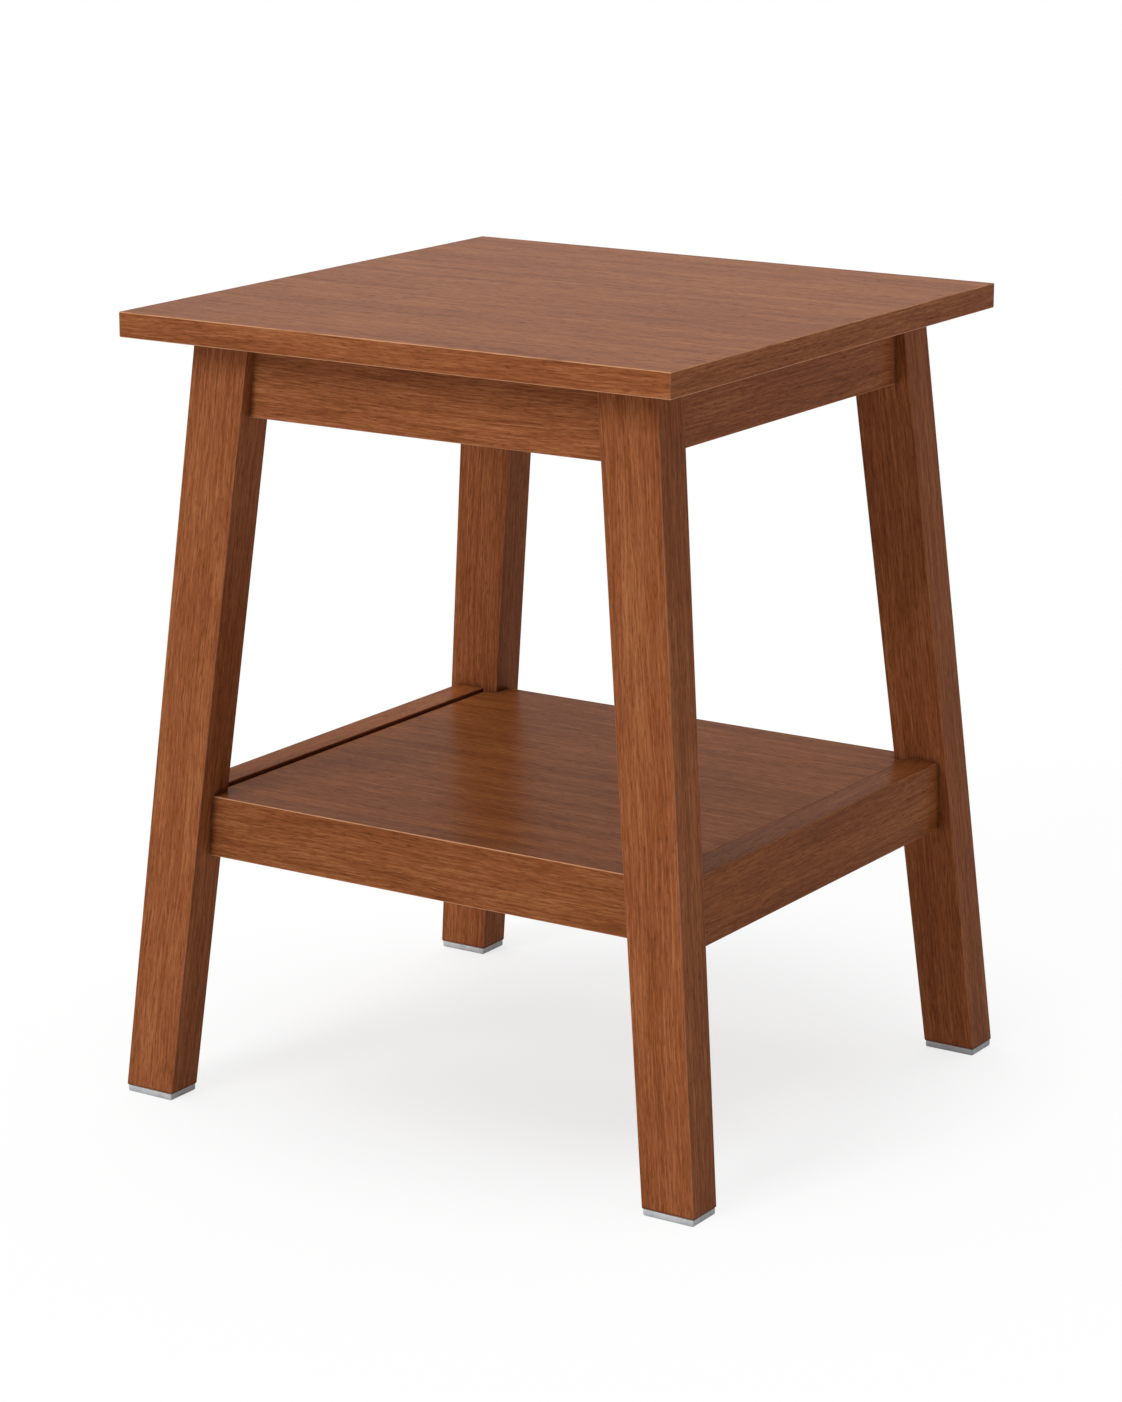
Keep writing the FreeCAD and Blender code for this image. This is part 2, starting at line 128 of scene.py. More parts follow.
def stained_wood(name, grain, tone, figure_share, arris_highlight, foot_level=None):
    """Stained hardwood under satin lacquer: broad low bands, fine lines and fibres, short dark pores, and
    a painted highlight, a lighter colour along the arrises. Boards differ in how dark they take the stain
    (for the rails this tone also paints light and shade), in how strong their figure is and in how strong
    the painted highlight is on their level arrises. The upright arrises all get the same weaker one.
    Painted shade darkens inner corners where surfaces close in, and a leg is darker in a thin band just
    above its foot.

    The figure is solid, so it runs on round the arrises, and each board takes it from another place.
    Real pores are about 0.3 mm wide; here they are drawn 0.7 mm wide, because finer ones don't show.
    """
    material, tree, shader = new_material(name)
    board = next(board_numbers)
    turn = Vector(grain).to_track_quat("X", "Z").to_euler()
    surface = add_node(tree, "ShaderNodeTexCoord").outputs
    space = add_node(tree, "ShaderNodeMapping", {
        "Vector": surface["Object"], "Location": BOARD_STEP * board, "Rotation": turn},
        vector_type="TEXTURE").outputs["Vector"]

    def streaks(mark):
        """Noise whose marks are so many millimetres long and wide."""
        along, across, detail, roughness = mark
        size = Vector((along, across, across)) * MM
        stretch = add_node(tree, "ShaderNodeMapping", {"Vector": space, "Scale": [1 / s for s in size]})
        return add_node(tree, "ShaderNodeTexNoise", {
            "Vector": stretch.outputs["Vector"], "Scale": 1.0,
            "Detail": detail, "Roughness": roughness}).outputs

    for mark, reach in WANDERS:
        space = add_node(tree, "ShaderNodeVectorMath", {
            "Vector": streaks(mark)["Color"], "Vector_001": Vector((0, reach, reach)) * MM,
            "Vector_002": space}, operation="MULTIPLY_ADD").outputs["Vector"]
    bands = streaks(BAND_MARK)["Fac"]
    lines = streaks(LINE_MARK)["Fac"]
    fibres = streaks(FIBRE_MARK)["Fac"]
    dashes = streaks(PORE_MARK)["Fac"]
    figure = 0.0
    for pattern, weight in ((bands, BAND_WEIGHT), (lines, LINE_WEIGHT), (fibres, FIBRE_WEIGHT)):
        figure = add_node(tree, "ShaderNodeMath", {
            "Value": pattern, "Value_001": weight, "Value_002": figure},
            operation="MULTIPLY_ADD").outputs["Value"]
    ramp = add_node(tree, "ShaderNodeValToRGB", {"Fac": figure})
    stops = ramp.color_ramp.elements
    stops.new(STAIN_MEAN)
    spread = STAIN_SPREAD / figure_share
    for stop, step, colour in zip(stops, (-spread, 0, spread), (STAIN_DARK, STAIN_MIDDLE, STAIN_LIGHT)):
        stop.position = STAIN_MEAN + step
        stop.color = [part * share for part, share in zip(linear(colour), (*tone, 1.0))]
    pores = add_node(tree, "ShaderNodeMapRange", {
        "Value": dashes, "From Min": PORE_FROM, "From Max": PORE_TO}).outputs["Result"]
    shade = add_node(tree, "ShaderNodeMapRange", {
        "Value": pores, "To Min": 1.0, "To Max": PORE_SHADE})
    colour = add_node(tree, "ShaderNodeVectorMath", {
        "Vector": ramp.outputs["Color"], "Scale": shade.outputs["Result"]}, operation="SCALE")

    # A face lies nearly square to one of the axes, and an arris turns from one face to the next
    facing = add_node(tree, "ShaderNodeVectorMath", {"Vector": surface["Normal"]}, operation="ABSOLUTE")
    parts = add_node(tree, "ShaderNodeSeparateXYZ", {"Vector": facing.outputs["Vector"]}).outputs
    square = parts["X"]
    for part in (parts["Y"], parts["Z"]):
        square = add_node(tree, "ShaderNodeMath", {
            "Value": square, "Value_001": part}, operation="MAXIMUM").outputs["Value"]
    # Painted highlight: the arrises get a lighter colour in patches, weaker on the upright arrises
    share = add_node(tree, "ShaderNodeMapRange", {
        "Value": parts["Z"], "From Max": ARRIS_LEVEL, "To Min": ARRIS_UPRIGHT_HIGHLIGHT, "To Max": arris_highlight})
    arris = add_node(tree, "ShaderNodeMapRange", {
        "Value": square, "From Min": ARRIS_FLAT, "From Max": ARRIS_TURNED, "To Max": share.outputs["Result"]})
    highlight_patches = add_node(tree, "ShaderNodeMath", {
        "Value": arris.outputs["Result"], "Value_001": streaks(PATCH_MARK)["Fac"]}, operation="MULTIPLY")
    highlight_patches = add_node(tree, "ShaderNodeMath", {
        "Value": highlight_patches.outputs["Value"], "Value_001": ARRIS_HIGHLIGHT_PATCH_GAIN},
        operation="MULTIPLY", use_clamp=True)
    highlighted = add_node(tree, "ShaderNodeMix", {
        "Factor_Float": highlight_patches.outputs["Value"], "A_Color": colour.outputs["Vector"],
        "B_Color": linear(ARRIS_HIGHLIGHT)}, data_type="RGBA")

    # Painted shade: the colour is darkened where other surfaces close in, in the inner corners where boards
    # meet
    clear = add_node(tree, "ShaderNodeAmbientOcclusion", {
        "Distance": INNER_CORNER_REACH}, samples=INNER_CORNER_SAMPLES)
    corner_shade = add_node(tree, "ShaderNodeMapRange", {
        "Value": clear.outputs["AO"], "From Min": INNER_CORNER_CLOSED, "To Min": INNER_CORNER_SHADE})
    shaded_colour = add_node(tree, "ShaderNodeVectorMath", {
        "Vector": output(highlighted, "Result_Color"), "Scale": corner_shade.outputs["Result"]}, operation="SCALE")
    # A leg is darker in a thin band just above its foot
    if foot_level is not None:
        height = add_node(tree, "ShaderNodeSeparateXYZ", {"Vector": surface["Object"]}).outputs["Z"]
        foot_band = add_node(tree, "ShaderNodeMapRange", {
            "Value": height, "From Min": foot_level, "From Max": foot_level + FOOT_BAND_REACH,
            "To Min": FOOT_BAND_SHARE}, interpolation_type="SMOOTHSTEP")
        shaded_colour = add_node(tree, "ShaderNodeVectorMath", {
            "Vector": shaded_colour.outputs["Vector"], "Scale": foot_band.outputs["Result"]}, operation="SCALE")

    gloss = add_node(tree, "ShaderNodeMapRange", {
        "Value": pores, "To Min": LACQUER_ROUGHNESS, "To Max": PORE_ROUGHNESS})
    relief = add_node(tree, "ShaderNodeMath", {"Value": fibres, "Value_001": pores}, operation="SUBTRACT")
    bump = add_node(tree, "ShaderNodeBump", {
        "Height": relief.outputs["Value"], "Strength": GRAIN_RELIEF_SHARE, "Distance": GRAIN_RELIEF})
    tree.links.new(shaded_colour.outputs["Vector"], shader.inputs["Base Color"])
    tree.links.new(gloss.outputs["Result"], shader.inputs["Roughness"])
    tree.links.new(bump.outputs["Normal"], shader.inputs["Normal"])
    shader.inputs["Specular IOR Level"].default_value = LACQUER_SPECULAR
    return material


def finish_node(node, material):
    """Give a piece of the frame its finish."""
    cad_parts[node].data.materials[0] = material


def end_middle(node, level):
    """The middle of a leg's end, from the corners that it has at that level."""
    rim = [v.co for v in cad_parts[node].data.vertices if abs(v.co.z - level) < END_REACH]
    return Vector([(min(p[axis] for p in rim) + max(p[axis] for p in rim)) / 2 for axis in range(3)])


board_numbers = itertools.count(1)
for corner in CORNERS:
    leg = "leg_" + corner
    foot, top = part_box(leg)
    run = end_middle(leg, top.z) - end_middle(leg, foot.z)
    finish_node(leg, stained_wood("stained_" + leg, run, LEG_TONE, LEG_FIGURE, LEG_ARRIS_HIGHLIGHT, foot.z))

# Foot pads: four moulded glides of light grey polyethylene, each with a peg that is pushed up into the
# end of its leg. The mould leaves a matt, very finely grained skin.
PAD_GREY = "#b4b6b8"
PAD_GREY_WORN = "#a4a6a8"
PAD_STOPS = (0.35, 0.65)
PAD_HEIGHT = 5 * MM
# Painted shade towards the floor and painted highlight at the rim, as shares of the colour
PAD_FLOOR_SHADE, PAD_RIM_HIGHLIGHT = 0.78, 1.25
PAD_ROUGHNESS = 0.5
PAD_CLOUD = 9 * MM
PAD_GRAIN = 1 * MM
PAD_GRAIN_DETAIL = 1.0
PAD_GRAIN_RELIEF = 0.05 * MM
PAD_GRAIN_SHARE = 0.4


def clouded(tree, size, stops, colours):
    """Two colours that run into each other in clouds of that size, and the place and noise they come from."""
    space = add_node(tree, "ShaderNodeTexCoord").outputs["Object"]
    clouds = add_node(tree, "ShaderNodeTexNoise", {"Vector": space, "Scale": 1 / size}).outputs["Fac"]
    ramp = add_node(tree, "ShaderNodeValToRGB", {"Fac": clouds})
    for stop, place, colour in zip(ramp.color_ramp.elements, stops, colours):
        stop.position = place
        stop.color = linear(colour)
    return ramp.outputs["Color"], space, clouds


def moulded_polyethylene(name):
    """Matt grey plastic: a soft highlight, faint clouding and a fine mould grain, drawn 1 mm wide to show.

    Painted shade makes it darker towards the floor, and a painted highlight makes it paler at the rim.
    """
    material, tree, shader = new_material(name)
    colour, space, _ = clouded(tree, PAD_CLOUD, PAD_STOPS, (PAD_GREY_WORN, PAD_GREY))
    height = add_node(tree, "ShaderNodeSeparateXYZ", {"Vector": space}).outputs["Z"]
    # Painted light and shade: darker towards the floor, paler at the rim
    pad_light_and_shade = add_node(tree, "ShaderNodeMapRange", {
        "Value": height, "From Max": PAD_HEIGHT, "To Min": PAD_FLOOR_SHADE, "To Max": PAD_RIM_HIGHLIGHT})
    grey = add_node(tree, "ShaderNodeVectorMath", {
        "Vector": colour, "Scale": pad_light_and_shade.outputs["Result"]}, operation="SCALE")
    grain = add_node(tree, "ShaderNodeTexNoise", {
        "Vector": space, "Scale": 1 / PAD_GRAIN, "Detail": PAD_GRAIN_DETAIL})
    bump = add_node(tree, "ShaderNodeBump", {
        "Height": grain.outputs["Fac"], "Strength": PAD_GRAIN_SHARE, "Distance": PAD_GRAIN_RELIEF})
    tree.links.new(grey.outputs["Vector"], shader.inputs["Base Color"])
    tree.links.new(bump.outputs["Normal"], shader.inputs["Normal"])
    shader.inputs["Roughness"].default_value = PAD_ROUGHNESS
    return material


pad_plastic = moulded_polyethylene("moulded_polyethylene")
for corner in CORNERS:
    finish_node("foot_pad_" + corner, pad_plastic)

# Dowels: turned beech pins, two in each end of every apron and rail, glued into the legs.
# They stay bare, because they are out of sight once the frame is closed.
BEECH_PALE = "#d8b48c"
BEECH_FLECK = "#b08458"
BEECH_STOPS = (0.45, 0.62)
BEECH_ROUGHNESS = 0.6
BEECH_FLECK_SIZE = 1.5 * MM


def bare_beech(name):
    """Bare turned beech: pale, dull, with small darker flecks."""
    material, tree, shader = new_material(name)
    colour, _, _ = clouded(tree, BEECH_FLECK_SIZE, BEECH_STOPS, (BEECH_PALE, BEECH_FLECK))
    tree.links.new(colour, shader.inputs["Base Color"])
    shader.inputs["Roughness"].default_value = BEECH_ROUGHNESS
    return material


beech = bare_beech("bare_beech")
for dowels in ("apron_dowels", "shelf_rail_dowels", "side_rail_dowels"):
    finish_node(dowels, beech)

# Aprons: four boards under the top, cut to the slant of the legs and held to them by two dowels at each
# end. The grain runs along each board.
ALONG_X = (1, 0, 0)
ALONG_Y = (0, 1, 0)
SIDES = {"front": ALONG_X, "back": ALONG_X, "left": ALONG_Y, "right": ALONG_Y}
# The aprons' tone, and the share of painted highlight on their level arrises
APRON_TONE, APRON_ARRIS_HIGHLIGHT = (1.03, 1.06, 1.10), 0.35
APRON_FIGURES = {"front": 1.0, "back": 1.0, "left": 0.8, "right": 0.8}

for side, grain in SIDES.items():
    apron = "apron_" + side
    finish_node(apron, stained_wood(
        "stained_" + apron, grain, APRON_TONE, APRON_FIGURES[side], APRON_ARRIS_HIGHLIGHT))

# Shelf rails and side rails: the four boards that tie the legs together and carry the shelf.
# The front and back ones have a rabbet for the panel, the side ones stand a little off it.
# Each rail's tone is partly painted light and shade, set to how light falls on it: the left rail's is raised
# where the top shades it
RAIL_TONES_AND_LIGHT = {"front": (0.84, 0.84, 0.80), "back": (0.88, 0.87, 0.76),
              "left": (1.04, 1.00, 0.83), "right": (0.88, 0.86, 0.74)}
RAIL_FIGURES = {"front": 1.0, "back": 1.0, "left": 0.8, "right": 0.8}
# Shares of painted highlight on each rail's level arrises, strongest at the front
RAIL_ARRIS_HIGHLIGHTS = {"front": 1.0, "back": 0.4, "left": 0.2, "right": 0.2}

for side, grain in SIDES.items():
    rail = "shelf_rail_" + side if grain == ALONG_X else "side_rail_" + side
    finish_node(rail, stained_wood(
        "stained_" + rail, grain, RAIL_TONES_AND_LIGHT[side], RAIL_FIGURES[side], RAIL_ARRIS_HIGHLIGHTS[side]))

# Shelf panel and its two cleats: a veneered board, screwed up from solid wood cleats on the side rails.
# The veneer's grain runs from left to right, that of the cleats along the side rails.
# The veneer's tone, figure share and share of painted arris highlight
VENEER_TONE, VENEER_FIGURE, VENEER_ARRIS_HIGHLIGHT = (0.98, 0.97, 0.80), 1.1, 0.20

finish_node("shelf_panel", stained_wood(
    "stained_shelf_veneer", ALONG_X, VENEER_TONE, VENEER_FIGURE, VENEER_ARRIS_HIGHLIGHT))
for side in ("left", "right"):
    cleat = "shelf_cleat_" + side
    finish_node(cleat, stained_wood(
        "stained_" + cleat, ALONG_Y, RAIL_TONES_AND_LIGHT[side], RAIL_FIGURES[side], RAIL_ARRIS_HIGHLIGHTS[side]))

# Table top: a veneered board with a thin wood band glued along each edge, its arrises eased.
# The veneer's grain runs from left to right, that of each band along its edge.
EDGE_BAND_TONE, EDGE_BAND_FIGURE = (1.0, 1.02, 1.04), 0.88
# Shares of painted highlight on each band's level arrises: strong on the near edges, faint on the far ones
EDGE_BAND_ARRIS_HIGHLIGHTS = {"front": 0.80, "back": 0.10, "left": 0.10, "right": 0.50}

finish_node("table_top_panel", stained_wood(
    "stained_top_veneer", ALONG_X, VENEER_TONE, VENEER_FIGURE, VENEER_ARRIS_HIGHLIGHT))
for side, grain in SIDES.items():
    band = "top_edge_band_" + side
    finish_node(band, stained_wood(
        "stained_" + band, grain, EDGE_BAND_TONE, EDGE_BAND_FIGURE, EDGE_BAND_ARRIS_HIGHLIGHTS[side]))

# Corner brackets and bolt washers: strip steel, pierced and folded, with a flange on each apron and a
# tab under the top. Zinc plated, as all the hardware of the table is.
ZINC_PALE = "#c6c9cc"
ZINC_DULL = "#a9acae"
ZINC_STOPS = (0.35, 0.70)
ZINC_CLOUD = 6 * MM
ZINC_ROUGHNESS_LOW = 0.42
ZINC_ROUGHNESS_HIGH = 0.58


def zinc_plated_steel(name):
    """Bright zinc plate on steel: a pale bluish metal with a blurred reflection and faint dull clouds."""
    material, tree, shader = new_material(name)
    colour, _, clouds = clouded(tree, ZINC_CLOUD, ZINC_STOPS, (ZINC_DULL, ZINC_PALE))
    gloss = add_node(tree, "ShaderNodeMapRange", {
        "Value": clouds, "To Min": ZINC_ROUGHNESS_HIGH, "To Max": ZINC_ROUGHNESS_LOW})
    tree.links.new(colour, shader.inputs["Base Color"])
    tree.links.new(gloss.outputs["Result"], shader.inputs["Roughness"])
    shader.inputs["Metallic"].default_value = 1.0
    return material


zinc = zinc_plated_steel("zinc_plated_steel")
for corner in CORNERS:
    finish_node("corner_bracket_" + corner, zinc)
finish_node("bolt_washers", zinc)

# Hanger bolts: zinc-plated pins with a wood thread that is driven into the leg, and a machine thread on
# the tail that comes through the bracket. Each is rolled from round bar and chamfered at the tail.
BOLT_RADIUS = 3.0 * MM
BOLT_WOOD_LENGTH = 25.0 * MM
MACHINE_CORE_RADIUS = 2.5 * MM
MACHINE_PITCH = 1.0 * MM
WOOD_CORE_RADIUS = 2.2 * MM
WOOD_PITCH = 2.4 * MM
TAIL_CHAMFER, TAIL_END_SHARE = 0.8 * MM, 0.75
POINT_LENGTH, POINT_END_SHARE = 6.0 * MM, 0.06
THREAD_SIDES = 20
THREAD_ROWS = 6
HALF_TURN = 0.5
SEED = 7
SAME_CORNER = MM / 1000


def fastener_tree(name, sizes):
    """A new tree for a fastener, its inputs by name, and a call that sets the made piece on every point."""
    tree = bpy.data.node_groups.new(name, "GeometryNodeTree")
    tree.interface.new_socket("Geometry", in_out="INPUT", socket_type="NodeSocketGeometry")
    for size in sizes:
        tree.interface.new_socket(size, in_out="INPUT", socket_type="NodeSocketFloat")
    tree.interface.new_socket("Material", in_out="INPUT", socket_type="NodeSocketMaterial")
    tree.interface.new_socket("Geometry", in_out="OUTPUT", socket_type="NodeSocketGeometry")
    given = add_node(tree, "NodeGroupInput").outputs

    def set_on_points(parts):
        """Make the parts one solid, and drive it in along each point's axis, stopped at any turn."""
        whole = add_node(tree, "GeometryNodeMeshBoolean", {
            "Mesh 2": parts}, operation="UNION", solver="MANIFOLD")
        axis = add_node(tree, "GeometryNodeInputNamedAttribute", {"Name": "axis"}, data_type="FLOAT_VECTOR")
        aim = add_node(tree, "FunctionNodeAlignRotationToVector", {
            "Vector": axis.outputs["Attribute"]}, axis="Z")
        stop = add_node(tree, "FunctionNodeRandomValue", {
            "Max_001": math.tau, "Seed": SEED}, data_type="FLOAT")
        spin = add_node(tree, "FunctionNodeAxisAngleToRotation", {"Angle": output(stop, "Value_001")})
        aim = add_node(tree, "FunctionNodeRotateRotation", {
            "Rotation": aim.outputs["Rotation"], "Rotate By": spin.outputs["Rotation"]},
            rotation_space="LOCAL")
        placed = add_node(tree, "GeometryNodeInstanceOnPoints", {
            "Points": given["Geometry"], "Instance": whole.outputs["Mesh"],
            "Rotation": aim.outputs["Rotation"]})
        plain = add_node(tree, "GeometryNodeRealizeInstances", {"Geometry": placed.outputs["Instances"]})
        plated = add_node(tree, "GeometryNodeSetMaterial", {
            "Geometry": plain.outputs["Geometry"], "Material": given["Material"]})
        add_node(tree, "NodeGroupOutput", {"Geometry": plated.outputs["Geometry"]})

    return tree, given, set_on_points


def thread_sizes(part, length, pitch, radius, core_radius, end):
    """The sizes of a threaded part, by the names of its inputs."""
    return {
        part + " Length": length,
        part + " Pitch": pitch,
        part + " Rows": round(length / pitch * THREAD_ROWS),
        part + " Radius": radius,
        part + " Core Share": core_radius / radius,
        part + " Taper Start": length - end,
    }


def threaded_shank(tree, given, part, end_share):
    """A closed shank from z = 0 upwards: its radius follows a V thread, and its end is tapered."""
    rod = add_node(tree, "GeometryNodeMeshCone", {
        "Vertices": THREAD_SIDES, "Side Segments": given[part + " Rows"], "Depth": given[part + " Length"],
        "Radius Top": given[part + " Radius"], "Radius Bottom": given[part + " Radius"]})
    place = add_node(tree, "GeometryNodeInputPosition").outputs["Position"]
    parts = add_node(tree, "ShaderNodeSeparateXYZ", {"Vector": place}).outputs
    angle = add_node(tree, "ShaderNodeMath", {
        "Value": parts["Y"], "Value_001": parts["X"]}, operation="ARCTAN2")
    climb = add_node(tree, "ShaderNodeMath", {
        "Value": parts["Z"], "Value_001": given[part + " Pitch"]}, operation="DIVIDE")
    phase = add_node(tree, "ShaderNodeMath", {
        "Value": angle.outputs["Value"], "Value_001": -HALF_TURN / math.pi,
        "Value_002": climb.outputs["Value"]}, operation="MULTIPLY_ADD")
    ridge = add_node(tree, "ShaderNodeMath", {
        "Value": phase.outputs["Value"], "Value_001": HALF_TURN}, operation="PINGPONG")
    depth = add_node(tree, "ShaderNodeMapRange", {
        "Value": ridge.outputs["Value"], "From Max": HALF_TURN, "To Min": given[part + " Core Share"]})
    taper = add_node(tree, "ShaderNodeMapRange", {
        "Value": parts["Z"], "From Min": given[part + " Taper Start"], "From Max": given[part + " Length"],
        "To Min": 1.0, "To Max": end_share})
    share = add_node(tree, "ShaderNodeMath", {
        "Value": depth.outputs["Result"], "Value_001": taper.outputs["Result"]}, operation="MULTIPLY")
    shares = add_node(tree, "ShaderNodeCombineXYZ", {
        "X": share.outputs["Value"], "Y": share.outputs["Value"], "Z": 1.0})
    drawn_in = add_node(tree, "ShaderNodeVectorMath", {
        "Vector": place, "Vector_001": shares.outputs["Vector"]}, operation="MULTIPLY")
    return add_node(tree, "GeometryNodeSetPosition", {
        "Geometry": rod.outputs["Mesh"], "Position": drawn_in.outputs["Vector"]}).outputs["Geometry"]


def hanger_bolt_tree(sizes):
    """A machine thread with its chamfered end at z = 0, and a wood thread that goes on from it to a point."""
    tree, given, set_on_points = fastener_tree("hanger_bolt", sizes)
    tail = threaded_shank(tree, given, "Tail", TAIL_END_SHARE)
    wood = threaded_shank(tree, given, "Wood", POINT_END_SHARE)
    to_start = add_node(tree, "ShaderNodeCombineXYZ", {"Z": given["Tail Length"]}).outputs["Vector"]
    tail = add_node(tree, "GeometryNodeTransform", {
        "Geometry": tail, "Translation": to_start, "Rotation": (math.pi, 0, 0)})
    wood = add_node(tree, "GeometryNodeTransform", {"Geometry": wood, "Translation": to_start})
    set_on_points([tail.outputs["Geometry"], wood.outputs["Geometry"]])
    return tree


def solids_of(node):
    """The corners of each separate solid in a node, whose mesh comes as loose triangles."""
    work = bmesh.new()
    work.from_mesh(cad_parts[node].data)
    bmesh.ops.remove_doubles(work, verts=work.verts, dist=SAME_CORNER)
    solids = []
    for first in work.verts:
        if first.tag:
            continue
        first.tag = True
        found = [first]
        for corner in found:
            for edge in corner.link_edges:
                other = edge.other_vert(corner)
                if not other.tag:
                    other.tag = True
                    found.append(other)
        solids.append([corner.co.copy() for corner in found])
    work.free()
    return solids


def across_corner(middle, _size):
    """The way from the middle of the table to a corner."""
    return Vector((math.copysign(1, middle.x), math.copysign(1, middle.y), 0)).normalized()


def longest_way(middle, size):
    """The way that a piece is longest, away from the middle of the table or from the floor."""
    longest = max(range(3), key=lambda axis: size[axis])
    return Vector([math.copysign(1, middle[axis]) if axis == longest else 0 for axis in range(3)])


def fastener_places(node, way):
    """Where each solid of a node starts and the way that it points, and their length, which is alike."""
    places = []
    for corners in solids_of(node):
        low = Vector([min(corner[axis] for corner in corners) for axis in range(3)])
        high = Vector([max(corner[axis] for corner in corners) for axis in range(3)])
        middle = (low + high) / 2
        axis = way(middle, high - low)
        reach = [(corner - middle).dot(axis) for corner in corners]
        places.append((middle + axis * min(reach), axis))
    return places, max(reach) - min(reach)


def fasten(piece_name, node, tree, places, sizes):
    """Make all the fasteners of a node as one plain mesh, which stands for the node's plain pins."""
    points = bpy.data.meshes.new(node + "_places")
    points.from_pydata([start for start, axis in places], [], [])
    axes = points.attributes.new("axis", "FLOAT_VECTOR", "POINT")
    axes.data.foreach_set("vector", [part for start, axis in places for part in axis])
    piece = bpy.data.objects.new(piece_name, points)
    bpy.context.scene.collection.objects.link(piece)
    maker = piece.modifiers.new(piece_name, "NODES")
    maker.node_group = tree
    given = {**sizes, "Material": zinc}
    for socket in tree.interface.items_tree:
        if socket.in_out == "INPUT" and socket.name in given:
            maker[socket.identifier] = given[socket.name]
    made = piece.evaluated_get(bpy.context.evaluated_depsgraph_get())
    mesh = bpy.data.meshes.new_from_object(made)
    piece.modifiers.remove(maker)
    piece.data = mesh
    bpy.data.meshes.remove(points)
    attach(piece, "root")
    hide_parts(node)


bolt_places, bolt_length = fastener_places("hanger_bolts", across_corner)
tail_length = bolt_length - BOLT_WOOD_LENGTH
bolt_sizes = {
    **thread_sizes("Tail", tail_length, MACHINE_PITCH, BOLT_RADIUS, MACHINE_CORE_RADIUS, TAIL_CHAMFER),
    **thread_sizes("Wood", BOLT_WOOD_LENGTH, WOOD_PITCH, BOLT_RADIUS, WOOD_CORE_RADIUS, POINT_LENGTH),
}
fasten("threaded_hanger_bolts", "hanger_bolts", hanger_bolt_tree(bolt_sizes), bolt_places, bolt_sizes)

# Bolt nuts: one hexagon steel nut on each bolt, forged, bored and chamfered on both faces.
# It pulls the leg against the aprons.
NUT_SIDES = 6
NUT_WIDTH = 10.0 * MM
NUT_CHAMFER_RADIUS = 4.8 * MM
NUT_CHAMFER_SLOPE = math.tan(math.radians(60))
NUT_BORE_RADIUS = 3.05 * MM
NUT_ROUND = 48
BORE_ROUND = 32
BORE_CUT_HEIGHTS = 4


def hexagon_nut_tree(sizes):
    """A six-sided prism from z = 0 upwards, with its corners trimmed by a cone at each end, and bored."""
    tree, given, set_on_points = fastener_tree("hexagon_nut", sizes)
    prism = add_node(tree, "GeometryNodeMeshCone", {
        "Vertices": NUT_SIDES, "Radius Top": given["Corner Radius"],
        "Radius Bottom": given["Corner Radius"], "Depth": given["Height"]})
    trims = []
    for narrow, wide in (("Radius Top", "Radius Bottom"), ("Radius Bottom", "Radius Top")):
        trim = add_node(tree, "GeometryNodeMeshCone", {
            "Vertices": NUT_ROUND, narrow: given["Chamfer Radius"], wide: given["Flare Radius"],
            "Depth": given["Height"]})
        trims.append(trim.outputs["Mesh"])
    bore = add_node(tree, "GeometryNodeMeshCylinder", {
        "Vertices": BORE_ROUND, "Radius": given["Bore Radius"], "Depth": given["Bore Length"]})
    nut = add_node(tree, "GeometryNodeMeshBoolean", {
        "Mesh 2": [prism.outputs["Mesh"], *trims]}, operation="INTERSECT", solver="MANIFOLD")
    nut = add_node(tree, "GeometryNodeMeshBoolean", {
        "Mesh 1": nut.outputs["Mesh"], "Mesh 2": bore.outputs["Mesh"]},
        operation="DIFFERENCE", solver="MANIFOLD")
    set_on_points([nut.outputs["Mesh"]])
    return tree


nut_places, nut_height = fastener_places("bolt_nuts", across_corner)
nut_sizes = {
    "Corner Radius": NUT_WIDTH / 2 / math.cos(math.pi / NUT_SIDES),
    "Height": nut_height,
    "Chamfer Radius": NUT_CHAMFER_RADIUS,
    "Flare Radius": NUT_CHAMFER_RADIUS + nut_height * NUT_CHAMFER_SLOPE,
    "Bore Radius": NUT_BORE_RADIUS,
    "Bore Length": nut_height * BORE_CUT_HEIGHTS,
}
fasten("chamfered_bolt_nuts", "bolt_nuts", hexagon_nut_tree(nut_sizes), nut_places, nut_sizes)

# Wood screws: pan heads that hold the brackets to the aprons and to the top, and countersunk heads that
# hold the cleats to the side rails and the shelf panel. Rolled threads, cross recesses, zinc plated.
SCREW_RADIUS = 1.75 * MM
SCREW_CORE_RADIUS = 1.2 * MM
SCREW_PITCH = 1.4 * MM
SCREW_POINT_LENGTH = 4.0 * MM
HEAD_RADIUS = 3.5 * MM
HEAD_ROUND = 32
PAN_HEIGHT, PAN_RIM_RADIUS = 2.4 * MM, 2.42 * MM
SUNK_HEIGHT = 2.2 * MM
RECESS_WIDTH, RECESS_SLOT, RECESS_DEPTH = 4.0 * MM, 1.0 * MM, 1.5 * MM
RECESS_FLOOR_SHARE = 0.5
SHANK_START_SHARE = 0.9


